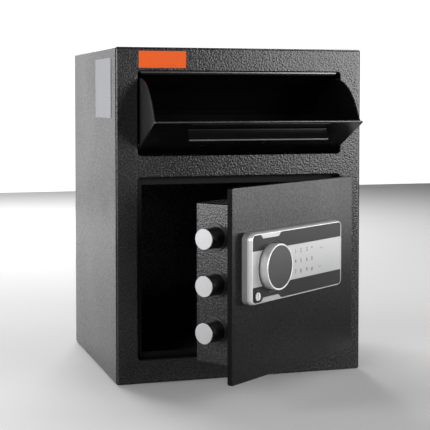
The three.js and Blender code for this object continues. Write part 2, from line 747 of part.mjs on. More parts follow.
function keyPlug() {
  const plug = bar('y', KEY_PLUG_RADIUS, keypadFront - 0.8, keyEnd + SEAT, keyX, keyZ);
  const slot = block(keyX - 0.7, keyX + 0.7, keypadFront - 2, keypadFront + 6, keyZ - 3.2, keyZ + 3.2);
  const tail = block(keyX - 3, keyX + 3, keyEnd + SEAT, keyEnd + SEAT + 2, keyZ - 4, keyZ + 9);
  const neck = bar('y', 2.5, keyEnd - 1, keyEnd + SEAT + 1, keyX, keyZ, 16);
  return join(cut(plug, slot), neck, tail);
}

// Solenoid
function solenoidBody() {
  const body = block(
    plungerX - SOLENOID_WIDTH / 2, plungerX + SOLENOID_WIDTH / 2,
    plungerY - SOLENOID_DEPTH / 2, plungerY + SOLENOID_DEPTH / 2,
    solenoidBottom, solenoidTop,
  );
  const feet = [solenoidBottom, solenoidTop - 2].map((z) =>
    block(plungerX - 8, plungerX + 8, plateRear + SEAT, plungerY, z, z + 2));
  const bore = bar('z', PLUNGER_RADIUS + RUNNING, solenoidBottom - 1, solenoidBoreTop, plungerX, plungerY, 24);
  return cut(join(body, ...feet), bore);
}

function solenoidPlunger() {
  return bar('z', PLUNGER_RADIUS, plungerTip, solenoidBoreTop - SEAT, plungerX, plungerY, 24);
}

// Batteries
function batteryBox() {
  const [halfX, halfZ] = [trayHalfX + trayWall, trayHalfZ + trayWall];
  const outer = block(
    batteryX - halfX, batteryX + halfX, trayFloor - trayWall, coverFront - SEAT,
    batteryZ - halfZ, batteryZ + halfZ,
  );
  const hollow = block(
    batteryX - trayHalfX, batteryX + trayHalfX, trayFloor, coverFront + 1,
    batteryZ - trayHalfZ, batteryZ + trayHalfZ,
  );
  return cut(outer, hollow);
}

function cell(index) {
  const x = batteryX + (index - (CELL_COUNT - 1) / 2) * CELL_PITCH;
  const y = trayFloor + CELL_RADIUS + SEAT;
  const bottom = batteryZ - CELL_LENGTH / 2;
  const can = bar('z', CELL_RADIUS, bottom, bottom + CELL_LENGTH - 1.5, x, y, 24);
  return join(can, bar('z', 2.5, bottom + CELL_LENGTH - 2, bottom + CELL_LENGTH, x, y, 16));
}

function batteryLid() {
  const front = caseBack + SEAT;
  const lid = block(batteryX - lidHalf, batteryX + lidHalf, front, front + LID, lidBottom, lidTop);
  const barrel = bar('x', 2, batteryX - lidHalf, batteryX + lidHalf, lidAxisY, lidBottom, 16);
  const pins = bar('x', 1.2, batteryX - lidHalf - 3, batteryX + lidHalf + 3, lidAxisY, lidBottom, 16);
  return join(lid, barrel, pins);
}

// Reset button and its switch
function resetSwitch() {
  const back = coverFront - SEAT;
  const body = block(resetX - 7, resetX + 7, back - 9, back, resetZ - 7, resetZ + 7);
  return cut(body, bar('y', RESET_RADIUS + 1.8, back - 6, back + 1, resetX, resetZ, 24));
}

function resetButton() {
  const back = coverFront - 2 * SEAT;
  const flange = bar('y', RESET_RADIUS + 1.2, back - 1.5, back, resetX, resetZ, 24);
  return join(flange, bar('y', RESET_RADIUS, back - 1, caseBack + RESET_TRAVEL + 0.5, resetX, resetZ, 24));
}

// Hopper, drawn shut
const chute = (along, up) => {
  const [cos, sin] = [Math.cos(CHUTE_SLOPE), Math.sin(CHUTE_SLOPE)];
  const start = [HOPPER_PLATE + SEAT, panelBottom + 1.8];
  return [start[0] + along * cos + up * sin, start[1] - along * sin + up * cos];
};

function hopperFront() {
  const panel = frontal(roundedRect(-panelSide, panelSide, panelBottom, panelTop, OPENING_CORNER - 1), 0, HOPPER_PLATE);
  const hemSide = panelSide - OPENING_CORNER;
  return join(panel, block(-hemSide, hemSide, HOPPER_PLATE - 0.5, HOPPER_HEM, panelTop - 4, panelTop));
}

function hopperPull() {
  const half = PULL_WIDTH / 2;
  const foot = panelTop - PULL_DROP - HOPPER_SHEET;
  const flange = block(-half, half, -SEAT - HOPPER_SHEET, -SEAT, foot, panelTop - 1);
  const ledge = block(-half, half, -PULL_REACH, -SEAT, foot, foot + HOPPER_SHEET);
  return join(flange, ledge);
}

function hopperSide(hand) {
  const front = HOPPER_PLATE + SEAT;
  const [chuteY, chuteZ] = chute(CHUTE_LENGTH, SEAT);
  const chuteAngle = Math.atan2(chuteY - PIVOT_DEPTH, chuteZ - pivotZ);
  const rim = arc(PIVOT_DEPTH, pivotZ, SECTOR_RADIUS, THREE.MathUtils.degToRad(3), chuteAngle - 0.01, 20);
  const [footY, footZ] = chute(0, SEAT);
  const plate = outline([[footY, footZ], [front, panelTop - 5], ...rim, [chuteY, chuteZ]]);
  const outer = hand * sectorSide;
  const inner = hand * (sectorSide - HOPPER_SHEET);
  const low = Math.min(outer, inner);
  const high = Math.max(outer, inner);
  return cut(upright(plate, low, high), bar('x', PIVOT_RADIUS + SEAT, low - 1, high + 1, PIVOT_DEPTH, pivotZ));
}

function hopperChute() {
  const section = outline([chute(0, 0), chute(CHUTE_LENGTH, 0), chute(CHUTE_LENGTH, -HOPPER_SHEET), chute(0.9, -HOPPER_SHEET)]);
  return upright(section, -sectorSide, sectorSide);
}

function hopperPin(hand) {
  const head = hand * (sectorSide - HOPPER_SHEET - SEAT);
  const end = hand * (hopperBracketSide + SHEET + 4);
  const shank = bar('x', PIVOT_RADIUS, Math.min(head - hand, end), Math.max(head - hand, end), PIVOT_DEPTH, pivotZ);
  const cap = bar('x', PIVOT_RADIUS + 1.5, Math.min(head, head - 2 * hand), Math.max(head, head - 2 * hand), PIVOT_DEPTH, pivotZ);
  return join(shank, cap);
}

// Fixed pieces round the hopper
function hopperBracket(hand) {
  const inner = hand * hopperBracketSide;
  const outer = inner + hand * SHEET;
  const [low, high] = [Math.min(inner, outer), Math.max(inner, outer)];
  const front = SHEET + SEAT;
  const rear = PIVOT_DEPTH + baffleRadius + 15;
  const plate = outline([
    [front, hopperSill - SHEET + SEAT],
    [rear - 60, hopperSill - SHEET + SEAT],
    [rear, pivotZ],
    [rear, ceiling - SEAT],
    [front, ceiling - SEAT],
  ]);
  return cut(upright(plate, low, high), bar('x', PIVOT_BUSH_RADIUS + SEAT, low - 1, high + 1, PIVOT_DEPTH, pivotZ));
}

function hopperBush(hand) {
  const start = hand * (sectorSide + 0.7);
  const step = hand * (hopperBracketSide + SHEET + SEAT);
  const end = step + hand * 2;
  const along = (radius, from, to) =>
    bar('x', radius, Math.min(from, to), Math.max(from, to), PIVOT_DEPTH, pivotZ);
  const bore = along(PIVOT_RADIUS + RUNNING, start - hand, end + hand);
  return cut(join(along(PIVOT_BUSH_RADIUS, start, end), along(PIVOT_BUSH_RADIUS + 1.2, step, end)), bore);
}

// A guard curved round the hopper's swing, hung from the ceiling
const chuteOpenAngle = (() => {
  const [y, z] = chute(CHUTE_LENGTH, 0);
  return Math.atan2(y - PIVOT_DEPTH, z - pivotZ) - HOPPER_OPEN;
})();

function hopperBaffle() {
  const from = THREE.MathUtils.degToRad(22);
  const to = chuteOpenAngle + THREE.MathUtils.degToRad(2);
  const front = SHEET + SEAT;
  const roof = hopperHead + 1.5;
  const under = arc(PIVOT_DEPTH, pivotZ, baffleRadius, from, to, 10);
  const over = arc(PIVOT_DEPTH, pivotZ, baffleRadius + HOPPER_SHEET, from, to, 10).reverse();
  const section = outline([
    [front, roof],
    [28, roof],
    ...under,
    ...over,
    [29, roof + HOPPER_SHEET],
    [front, roof + HOPPER_SHEET],
  ]);
  const lipSide = sectorSide - HOPPER_SHEET - 2;
  const lipFront = HOPPER_HEM + SEAT;
  const lip = block(-lipSide, lipSide, lipFront, lipFront + HOPPER_SHEET, panelTop - SHUT_OVERLAP, roof + 1);
  return join(upright(section, -openingSide, openingSide), lip);
}

// The rubber strip that the chute's edge meets when the hopper is fully open
function hopperOpenStop() {
  const gap = 0.3 / SECTOR_RADIUS;
  const from = chuteOpenAngle - gap;
  const to = from - THREE.MathUtils.degToRad(3.4);
  const strip = outline([
    ...arc(PIVOT_DEPTH, pivotZ, SECTOR_RADIUS - 6, to, from, 1),
    ...arc(PIVOT_DEPTH, pivotZ, baffleRadius - SEAT, from, to, 2),
  ]);
  const half = sectorSide - HOPPER_SHEET - 2;
  return upright(strip, -half, half);
}

// Labels
function frontLabel() {
  const top = HEIGHT - FRONT_LABEL_FROM_TOP;
  const left = -openingSide + 1.5;
  const shape = roundedRect(left, left + FRONT_LABEL_WIDTH, top - FRONT_LABEL_HEIGHT, top, 1);
  return frontal(shape, -GLUE - LABEL, -GLUE);
}

function sideLabel() {
  const top = HEIGHT - SIDE_LABEL_FROM_TOP;
  const shape = roundedRect(SIDE_LABEL_FROM_FRONT, SIDE_LABEL_FROM_FRONT + SIDE_LABEL_DEPTH, top - SIDE_LABEL_HEIGHT, top, 1);
  return upright(shape, -side - GLUE - LABEL, -side - GLUE);
}

// The cabinet's frame starts at its front face
const cabinet = new THREE.Group();
cabinet.position.y = -DEPTH / 2;
add(cabinet, 'body_wrap', bodyWrap(), texturedBlack());
add(cabinet, 'front_panel', frontPanel(), texturedBlack());
add(cabinet, 'rear_panel', rearPanel(), texturedBlack());
add(cabinet, 'door_stop_frame', doorStopFrame(), texturedBlack());
add(cabinet, 'floor_mat', floorMat(), felt());
add(cabinet, 'hopper_baffle', hopperBaffle(), texturedBlack());
add(cabinet, 'hopper_open_stop', hopperOpenStop(), rubber());
add(cabinet, 'front_label', frontLabel(), orange());
add(cabinet, 'side_label', sideLabel(), white());
for (const [name, hand] of [['left', -1], ['right', 1]]) {
  add(cabinet, `hopper_bracket_${name}`, hopperBracket(hand), texturedBlack());
  add(cabinet, `hopper_bush_${name}`, hopperBush(hand), nylon());
}
for (const [name, z] of Object.entries(hingeLevels)) {
  add(cabinet, `hinge_bracket_${name}`, hingeBracket(z), texturedBlack());
  add(cabinet, `hinge_bush_${name}`, hingeBush(z), nylon());
}

// The hopper is drawn shut and tilts about its pivot
const hopper = new THREE.Group();
hopper.position.set(0, PIVOT_DEPTH, pivotZ);
hopper.rotation.x = HOPPER_OPEN;
cabinet.add(hopper);
const pan = new THREE.Group();
pan.position.set(0, -PIVOT_DEPTH, -pivotZ);
hopper.add(pan);
add(pan, 'hopper_front', hopperFront(), satinBlack());
add(pan, 'hopper_pull', hopperPull(), satinBlack());
add(pan, 'hopper_chute', hopperChute(), satinBlack());
for (const [name, hand] of [['left', -1], ['right', 1]]) {
  add(pan, `hopper_side_${name}`, hopperSide(hand), satinBlack());
  add(pan, `hopper_pin_${name}`, hopperPin(hand), zinc());
}

// The door is drawn shut and swings about its hinge
const swing = new THREE.Group();
swing.position.set(hingeX, HINGE_DEPTH, 0);
swing.rotation.z = DOOR_OPEN;
cabinet.add(swing);
const door = new THREE.Group();
door.position.set(-hingeX, -HINGE_DEPTH, 0);
swing.add(door);
add(door, 'door_plate', doorPlate(), satinBlack());
add(door, 'lock_case', lockCase(), texturedBlack());
add(door, 'lock_case_cover', lockCaseCover(), texturedBlack());
for (const [name, z] of Object.entries(hingeLevels)) {
  add(door, `hinge_arm_${name}`, hingeArm(z), texturedBlack());
  add(door, `hinge_pin_${name}`, hingePin(z), zinc());
}
for (const [name, x, z] of coverScrews) {
  add(door, `cover_screw_${name}`, coverScrew(x, z), zinc());
}
for (const [name, z] of Object.entries(guideLevels)) {
  add(door, `guide_post_${name}`, guidePost(z), zinc());
}
add(door, 'keypad_housing', keypadHousing(), silver());
add(door, 'keypad_inlay_upper', inlay(1), glossBlack());
add(door, 'keypad_inlay_lower', inlay(-1), glossBlack());
add(door, 'knob_collar', knobCollar(), nylon());
add(door, 'circuit_board', circuitBoard(), boardGreen());
add(door, 'key_cylinder', keyCylinder(), nylon());
add(door, 'key_plug', keyPlug(), chrome());
add(door, 'solenoid_body', solenoidBody(), zinc());
add(door, 'solenoid_plunger', solenoidPlunger(), zinc());
add(door, 'battery_box', batteryBox(), nylon());
for (let i = 0; i < CELL_COUNT; i += 1) {
  add(door, `battery_${i + 1}`, cell(i), cellWrap());
}
add(door, 'battery_lid', batteryLid(), nylon());
add(door, 'reset_switch', resetSwitch(), nylon());
add(door, 'reset_button', resetButton(), red());

// Bolts and the carriage, drawn out
for (const [name, z] of Object.entries(boltLevels)) {
  add(door, `bolt_${name}`, bolt(z), chrome());
}
add(door, 'bolt_carriage', boltCarriage(), zinc());

// Knob, spindle and cam
add(door, 'knob', knob(), silver());
add(door, 'knob_cap', knobCap(), glossBlack());
add(door, 'spindle', spindle(), zinc());
const cam = new THREE.Group();
cam.position.set(knobX, 0, knobZ);
cam.rotation.y = -CAM_SWING;
door.add(cam);
add(cam, 'bolt_cam', boltCam(), zinc());

const safe = new THREE.Group();
safe.add(cabinet);

export default safe;
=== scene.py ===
import json
import math

import bmesh
import bpy
from mathutils import Matrix, Vector


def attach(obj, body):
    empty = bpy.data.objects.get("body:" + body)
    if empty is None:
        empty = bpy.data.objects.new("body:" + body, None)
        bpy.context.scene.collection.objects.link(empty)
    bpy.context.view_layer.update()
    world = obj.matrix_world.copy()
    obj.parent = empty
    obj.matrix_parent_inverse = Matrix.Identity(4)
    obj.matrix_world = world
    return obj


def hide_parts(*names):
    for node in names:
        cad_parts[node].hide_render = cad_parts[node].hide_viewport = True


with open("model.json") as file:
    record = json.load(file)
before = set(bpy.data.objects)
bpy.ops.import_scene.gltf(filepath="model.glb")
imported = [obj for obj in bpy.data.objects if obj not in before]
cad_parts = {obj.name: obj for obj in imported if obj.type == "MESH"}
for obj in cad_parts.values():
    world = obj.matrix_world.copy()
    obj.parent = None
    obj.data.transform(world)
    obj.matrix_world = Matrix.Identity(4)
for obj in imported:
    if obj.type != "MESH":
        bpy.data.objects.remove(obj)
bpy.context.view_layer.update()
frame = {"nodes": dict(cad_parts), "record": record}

# Own pieces are drawn in millimetres with the door and the hopper shut: x runs to the right, y to the back
# from the cabinet's front face, and z up. CABINET, DOOR and HOPPER put a drawing in the row frame, in metres.
MM = 0.001
CABINET = Matrix.Translation((0, -0.150, 0))
DOOR_OPEN = 36.5
HOPPER_OPEN = 66.5


def swung(pivot, degrees, axis):
    """Puts a drawing in the row frame and turns it there about a pivot."""
    turn = Matrix.Rotation(math.radians(degrees), 4, axis)
    return Matrix.Translation(pivot) @ turn @ Matrix.Translation(-Vector(pivot)) @ CABINET


DOOR = swung((0.167, -0.136, 0), DOOR_OPEN, "Z")
HOPPER = swung((0, -0.1417, 0.3194), HOPPER_OPEN, "X")

# On the door's drawing: centres in x and z, the y of the keypad's face, and what is printed on it
KNOB = (-76, 174)
KEY = (-109.5, 140.4)
KEYPAD_Y = -17.5
PRINT_DEPTH = 0.03
PRINT_Y = KEYPAD_Y - PRINT_DEPTH


# Shapes
def arc(u, v, r, start, turn, n):
    """n + 1 points on an arc about (u, v), from a start angle through a turn, both in degrees."""
    angles = [math.radians(start + turn * i / n) for i in range(n + 1)]
    return [(u + r * math.cos(a), v + r * math.sin(a)) for a in angles]


def circle(u, v, r, n):
    return arc(u, v, r, 0, 360, n)[:-1]


def rounded(u0, u1, v0, v1, r, n=10):
    """A rectangle with round corners, anticlockwise."""
    corners = ((u1 - r, v0 + r, -90), (u1 - r, v1 - r, 0), (u0 + r, v1 - r, 90), (u0 + r, v0 + r, 180))
    return [point for u, v, start in corners for point in arc(u, v, r, start, 90, n)]


def fillet(corners):
    """A polygon whose corners (u, v, radius) are rounded, in the order given."""
    steps = 8
    points = []
    for i, (u, v, r) in enumerate(corners):
        here = Vector((u, v))
        back = (Vector(corners[i - 1][:2]) - here).normalized()
        on = (Vector(corners[(i + 1) % len(corners)][:2]) - here).normalized()
        half = math.acos(max(-1, min(1, back.dot(on)))) / 2
        reach = r / math.tan(half)
        start, end = here + back * reach, here + on * reach
        centre = here + (back + on).normalized() * (r / math.sin(half))
        a, b = start - centre, end - centre
        turn = math.atan2(a.x * b.y - a.y * b.x, a.dot(b))
        for k in range(steps + 1):
            t = turn * k / steps
            points.append((
                centre.x + a.x * math.cos(t) - a.y * math.sin(t),
                centre.y + a.x * math.sin(t) + a.y * math.cos(t),
            ))
    return points


def finished(bm, name):
    """The mesh that a bmesh holds, which is then freed."""
    mesh = bpy.data.meshes.new(name)
    bm.to_mesh(mesh)
    bm.free()
    return mesh


def linked(name, data):
    """A new object in the scene."""
    obj = bpy.data.objects.new(name, data)
    bpy.context.scene.collection.objects.link(obj)
    return obj


def evaluated(obj):
    """An object's mesh as its modifiers leave it."""
    bpy.context.view_layer.update()
    return bpy.data.meshes.new_from_object(obj.evaluated_get(bpy.context.evaluated_depsgraph_get()))


def even_normals(obj):
    obj.modifiers.new("even_normals", "WEIGHTED_NORMAL").keep_sharp = True


def piece(name, mesh, place, body, stands_for=(), angle=35):
    """A drawn mesh becomes a piece in the row frame that rides on a body."""
    mesh.transform(place @ Matrix.Scale(MM, 4))
    mesh.shade_smooth()
    mesh.set_sharp_from_angle(angle=math.radians(angle))
    obj = linked(name, mesh)
    even_normals(obj)
    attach(obj, body)
    if stands_for:
        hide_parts(*stands_for)
    return obj


def plate_mesh(outer, holes):
    """A plate in x and z. Each loop is an outline(inset) and its (inset, y) profile from back to front."""
    bm = bmesh.new()
    caps = ([], [])
    for outline, profile in [outer, *holes]:
        rings = [[bm.verts.new((u, y, v)) for u, v in outline(inset)] for inset, y in profile]
        count = len(rings[0])
        for a, b in zip(rings, rings[1:]):
            for i in range(count):
                j = (i + 1) % count
                bm.faces.new((a[i], a[j], b[j], b[i]))
        for cap, ring in zip(caps, (rings[0], rings[-1])):
            cap += [bm.edges.get((ring[i], ring[(i + 1) % count])) for i in range(count)]
    for cap in caps:
        bmesh.ops.triangle_fill(bm, edges=cap, use_beauty=True, use_dissolve=True)
    bmesh.ops.recalc_face_normals(bm, faces=bm.faces)
    return finished(bm, "plate")


EDGE_STEPS = 6


def edge_profile(y_back, y_front, front_edge, back_edge=0.2):
    """(inset, y) pairs up a plate's side, both its edges rounded; y falls towards the front."""
    return [
        *arc(back_edge, y_back - back_edge, back_edge, 90, 90, 2),
        *arc(front_edge, y_front + front_edge, front_edge, 180, 90, EDGE_STEPS),
    ]


def seamed(y_back, lip, seam, edge):
    """(inset, y) pairs up a panel's side: a low lip, a dark seam, then the panel's own round edge at y 0."""
    start = lip + seam
    lip_y = edge * 0.7
    bevel = 0.05
    return [
        (0, y_back), (0, edge * 0.8), (0.1, lip_y), (lip, lip_y),
        (lip + bevel, y_back - bevel), (start - bevel, y_back - bevel),
        *arc(start + edge, edge, edge, 180, 90, EDGE_STEPS),
    ]


def rounded_outer(u0, u1, v0, v1, r):
    return lambda inset: rounded(u0 + inset, u1 - inset, v0 + inset, v1 - inset, r - inset)


def rounded_hole(u0, u1, v0, v1, r):
    return lambda inset: rounded(u0 - inset, u1 + inset, v0 - inset, v1 + inset, r + inset)


def round_hole(centre, r):
    return lambda inset: circle(*centre, r + inset, 48)


def prism_mesh(outline, y0, y1, front_edge=0.0, back_edge=0.0, segments=3):
    """An outline in x and z drawn from y0 to y1, its front and back edges rounded."""
    near = 1e-5
    bm = bmesh.new()
    front = [bm.verts.new((u, y0, v)) for u, v in outline]
    back = [bm.verts.new((u, y1, v)) for u, v in outline]
    bm.faces.new(front)
    bm.faces.new(back[::-1])
    for i in range(len(outline)):
        j = (i + 1) % len(outline)
        bm.faces.new((front[j], front[i], back[i], back[j]))
    bmesh.ops.recalc_face_normals(bm, faces=bm.faces)
    for y, edge in ((y0, front_edge), (y1, back_edge)):
        if edge:
            rim = [e for e in bm.edges if all(abs(p.co.y - y) < near for p in e.verts)]
            bmesh.ops.bevel(bm, geom=rim, offset=edge, segments=segments, profile=0.5, affect="EDGES",
                            clamp_overlap=True)
    return finished(bm, "prism")


def box_mesh(spans, edge, segments):
    """A box between (from, to) pairs in x, y and z, its edges rounded."""
    bm = bmesh.new()
    bmesh.ops.create_cube(bm, size=1)
    for p in bm.verts:
        p.co = [(a + b) / 2 + c * (b - a) for (a, b), c in zip(spans, p.co)]
    bmesh.ops.bevel(bm, geom=list(bm.edges), offset=edge, segments=segments, profile=0.5, affect="EDGES")
    return finished(bm, "box")


def turned_mesh(profile, sides):
    """A turned piece about z: (radius, height) pairs; a radius of 0 closes it."""
    bm = bmesh.new()
    rings = [
        [bm.verts.new((u, v, h)) for u, v in (circle(0, 0, r, sides) if r > 0 else [(0, 0)])]
        for r, h in profile
    ]
    for a, b in zip(rings, rings[1:]):
        for i in range(sides):
            j = (i + 1) % sides
            corners = [a[i % len(a)], a[j % len(a)], b[j % len(b)], b[i % len(b)]]
            unique = list(dict.fromkeys(corners))
            if len(unique) > 2:
                bm.faces.new(unique)
    bmesh.ops.recalc_face_normals(bm, faces=bm.faces)
    return finished(bm, "turned")


def facing_front(x, y, z):
    """Stands a piece turned about z at a place with its axis towards the front."""
    return Matrix.Translation((x, y, z)) @ Matrix.Rotation(math.radians(90), 4, "X")


def facing_left(x, y, z):
    return Matrix.Translation((x, y, z)) @ Matrix.Rotation(math.radians(-90), 4, "Y")


# Materials. A noise stays near its middle value, so it is read over one of these spans
WIDE = (0.3, 0.7)
NARROW = (0.35, 0.65)


class Nodes:
    """A material whose nodes lead to a Principled shader."""

    def __init__(self, name):
        self.material = bpy.data.materials.new(name)
        self.material.use_nodes = True
        self.tree = self.material.node_tree
        self.tree.nodes.clear()
        self.shader = self.tree.nodes.new("ShaderNodeBsdfPrincipled")
        self.add("ShaderNodeOutputMaterial", Surface=self.shader.outputs["BSDF"])
        self.coords = self.tree.nodes.new("ShaderNodeTexCoord").outputs["Object"]

    def put(self, socket, value):
        """Gives an input a number, a colour, a vector or another node's output."""
        if isinstance(value, (int, float)):
            socket.default_value = value
        elif isinstance(value, tuple):
            socket.default_value = (*value, 1) if socket.type == "RGBA" else value
        else:
            self.tree.links.new(value, socket)

    def add(self, kind, **inputs):
        node = self.tree.nodes.new(kind)
        for key, value in inputs.items():
            self.put(node.inputs[key.replace("_", " ")], value)
        return node

    def stretched(self, scale):
        return self.add("ShaderNodeMapping", Scale=scale, Vector=self.coords).outputs["Vector"]

    def noise(self, scale, detail, rough=0.5, coords=None):
        return self.add("ShaderNodeTexNoise", Scale=scale, Detail=detail, Roughness=rough,
                        Vector=coords or self.coords).outputs["Fac"]

    def cells(self, scale, smoothness):
        node = self.add("ShaderNodeTexVoronoi", Scale=scale, Vector=self.coords)
        node.feature = "SMOOTH_F1"
        node.inputs["Smoothness"].default_value = smoothness
        return node.outputs["Distance"]

    def range(self, value, span, low, high):
        """A value that runs from low to high while another crosses a span."""
        return self.add("ShaderNodeMapRange", Value=value, From_Min=span[0], From_Max=span[1],
                        To_Min=low, To_Max=high).outputs["Result"]

    def blend(self, value, span, dark, light):
        """A colour that runs from dark to light while a value crosses a span."""
        node = self.tree.nodes.new("ShaderNodeMix")
        node.data_type = "RGBA"
        self.put(node.inputs["Factor"], self.range(value, span, 0, 1))
        for key, colour in (("A", dark), ("B", light)):
            self.put(next(s for s in node.inputs if s.name == key and s.type == "RGBA"), colour)
        return next(s for s in node.outputs if s.type == "RGBA")

    def math(self, kind, a, b):
        node = self.tree.nodes.new("ShaderNodeMath")
        node.operation = kind
        for socket, value in zip(node.inputs, (a, b)):
            self.put(socket, value)
        return node.outputs[0]

    def bump(self, height, strength, distance):
        return self.add("ShaderNodeBump", Strength=strength, Distance=distance, Height=height).outputs["Normal"]

    def surface(self, **values):
        """Sets the shader's inputs and gives back the material."""
        for key, value in values.items():
            self.put(self.shader.inputs[key.replace("_", " ")], value)
        return self.material


def textured_black(name, scale, depth):
    """Baked powder coat: a close orange-peel grain over broad, faint unevenness."""
    n = Nodes(name)
    peel = n.noise(scale, 0.5)
    cells = n.cells(scale * 1.02, 0.6)
    broad = n.noise(9, 3.0)
    grain = n.math("SUBTRACT", peel, n.math("MULTIPLY", cells, 0.5))
    return n.surface(
        Base_Color=n.blend(broad, NARROW, (0.0095, 0.0095, 0.010), (0.0145, 0.0145, 0.015)),
        Roughness=n.math("ADD", n.range(peel, WIDE, 0.22, 0.30), n.range(broad, NARROW, -0.02, 0.02)),
        Specular_IOR_Level=n.range(peel, WIDE, 0.32, 0.66),
        Normal=n.bump(grain, depth, 0.00040),
    )


def satin_black():
    """Smooth satin coat with a very fine grain and faint wiping marks."""
    n = Nodes("satin_black")
    smear = n.noise(14, 4.0, 0.6, n.stretched((1, 1, 0.35)))
    return n.surface(
        Base_Color=n.blend(smear, NARROW, (0.002, 0.002, 0.002), (0.004, 0.004, 0.004)),
        Roughness=n.range(smear, WIDE, 0.30, 0.38),
        Normal=n.bump(n.noise(1100, 2.0), 0.5, 0.00012),
    )


def door_black():
    """Finer grain of the door's coat."""
    n = Nodes("door_black")
    peel = n.noise(420, 1.5)
    broad = n.noise(7, 3.0)
    return n.surface(
        Base_Color=n.blend(broad, NARROW, (0.0015, 0.0015, 0.0015), (0.0025, 0.0025, 0.0025)),
        Roughness=n.range(broad, NARROW, 0.26, 0.30),
        Specular_IOR_Level=n.range(peel, WIDE, 0.22, 0.46),
        Normal=n.bump(peel, 0.5, 0.00022),
    )


def metal(name, colour, low, high, streak=(1, 1, 1), scale=300, grain=0.00002):
    """Metal with faint clouds and a fine, perhaps brushed grain."""
    n = Nodes(name)
    brushed = n.noise(scale, 3.0, 0.6, n.stretched(streak))
    cloud = n.noise(22, 3.0)
    uneven = n.math("ADD", n.math("MULTIPLY", brushed, 0.6), n.math("MULTIPLY", cloud, 0.4))
    return n.surface(
        Base_Color=n.blend(cloud, WIDE, tuple(c * 0.93 for c in colour), colour),
        Metallic=1.0,
        Roughness=n.range(uneven, WIDE, low, high),
        Normal=n.bump(brushed, 0.3, grain),
    )


def silver(name, dark, light):
    """Silver paint on moulded plastic: fine metal flake."""
    n = Nodes(name)
    flake = n.noise(2600, 1.0)
    return n.surface(
        Base_Color=n.blend(flake, WIDE, dark, light),
        Metallic=0.5,
        Roughness=n.range(n.noise(18, 3.0), WIDE, 0.27, 0.35),
        Normal=n.bump(flake, 0.25, 0.00002),
    )


def film(name, dark, light, low, high, shine=0.5):
    """Smooth plastic, paint, print or rubber, with faint clouds."""
    n = Nodes(name)
    cloud = n.noise(30, 3.0)
    return n.surface(
        Base_Color=n.blend(cloud, WIDE, dark, light),
        Roughness=n.range(cloud, WIDE, low, high),
        Specular_IOR_Level=shine,
        Normal=n.bump(n.noise(1800, 2.0), 0.2, 0.00003),
    )


MATERIALS = {"satin_black": satin_black(), "door_black": door_black()}
for make, rows in (
    # The grain's scale and depth
    (textured_black, {
        "textured_black": (420, 0.6),
        "case_black": (500, 0.42),
    }),
    # Colour, least and most roughness, then the grain's stretch, scale and depth
    (metal, {
        "chrome": ((0.78, 0.78, 0.79), 0.10, 0.22),
        "bolt_end": ((0.43, 0.43, 0.44), 0.46, 0.50, (1, 1, 1), 200, 0.000004),
        # Painted shade: the bolts' bodies are a dark steel, standing for the shadow they sit in
        "black_steel": ((0.11, 0.11, 0.112), 0.22, 0.34, (12, 1, 1), 240),
        "zinc": ((0.48, 0.48, 0.47), 0.28, 0.42),
    }),
    # Dark and light colour
    (silver, {
        "silver": ((0.42, 0.42, 0.425), (0.48, 0.48, 0.485)),
        # The knob's silver, and also a painted highlight on the keypad housing's rounded rim
        "knob_silver_and_rim_highlight": ((0.78, 0.78, 0.785), (0.84, 0.84, 0.845)),
        "key_silver": ((0.74, 0.74, 0.74), (0.80, 0.80, 0.80)),
    }),
    # Dark and light colour, least and most roughness, then the specular level
    (film, {
        "gloss_black": ((0.024, 0.024, 0.025), (0.028, 0.028, 0.029), 0.30, 0.36),
        "film_black": ((0.016, 0.016, 0.0165), (0.020, 0.020, 0.0205), 0.30, 0.36, 0.22),
        # Painted shade: darker than the coat, for the door's stop frame in the opening
        "frame_shade_black": ((0.003, 0.003, 0.003), (0.004, 0.004, 0.004), 0.45, 0.55, 0.2),
        # Painted shade: darker than the coat, for the parts inside the hopper's well
        "well_shade_black": ((0.001, 0.001, 0.001), (0.0014, 0.0014, 0.0014), 0.5, 0.6, 0.1),
        "hopper_black": ((0.0025, 0.0025, 0.0025), (0.0035, 0.0035, 0.0035), 0.24, 0.28, 0.30),
        "pull_black": ((0.0015, 0.0015, 0.0015), (0.0025, 0.0025, 0.0025), 0.24, 0.28, 0.22),
        "edge_black": ((0.002, 0.002, 0.002), (0.003, 0.003, 0.003), 0.45, 0.55, 0.06),
        # Painted highlight: a lighter, shinier black given to edges so that they show bright lines
        "worn_black": ((0.022, 0.022, 0.022), (0.030, 0.030, 0.030), 0.20, 0.28, 1.0),
        # Painted highlight: a brighter black for the pull's roll
        "worn_bright": ((0.065, 0.065, 0.065), (0.085, 0.085, 0.085), 0.20, 0.28, 1.0),
        # Painted light: a lighter grey for the hopper's left side plate
        "satin_grey": ((0.012, 0.012, 0.012), (0.015, 0.015, 0.015), 0.34, 0.40),
        "nylon": ((0.016, 0.016, 0.017), (0.022, 0.022, 0.023), 0.45, 0.6),
        "rubber": ((0.010, 0.010, 0.010), (0.016, 0.016, 0.016), 0.7, 0.85),
        "felt": ((0.030, 0.030, 0.033), (0.055, 0.055, 0.058), 0.9, 1.0),
        "board_green": ((0.012, 0.09, 0.04), (0.016, 0.11, 0.05), 0.35, 0.5),
        "cell_wrap": ((0.03, 0.07, 0.14), (0.04, 0.09, 0.17), 0.3, 0.4),
        "orange": ((0.68, 0.084, 0.001), (0.72, 0.093, 0.002), 0.45, 0.55, 0.25),
        "white": ((0.270, 0.273, 0.290), (0.295, 0.298, 0.315), 0.4, 0.5, 0.3),
        "red": ((0.40, 0.015, 0.012), (0.46, 0.02, 0.015), 0.3, 0.4),
        "print_grey": ((0.05, 0.05, 0.052), (0.07, 0.07, 0.072), 0.5, 0.6),
        "print_pale": ((0.17, 0.17, 0.172), (0.20, 0.20, 0.202), 0.5, 0.6),
    }),
):
    for name, values in rows.items():
        MATERIALS[name] = make(name, *values)


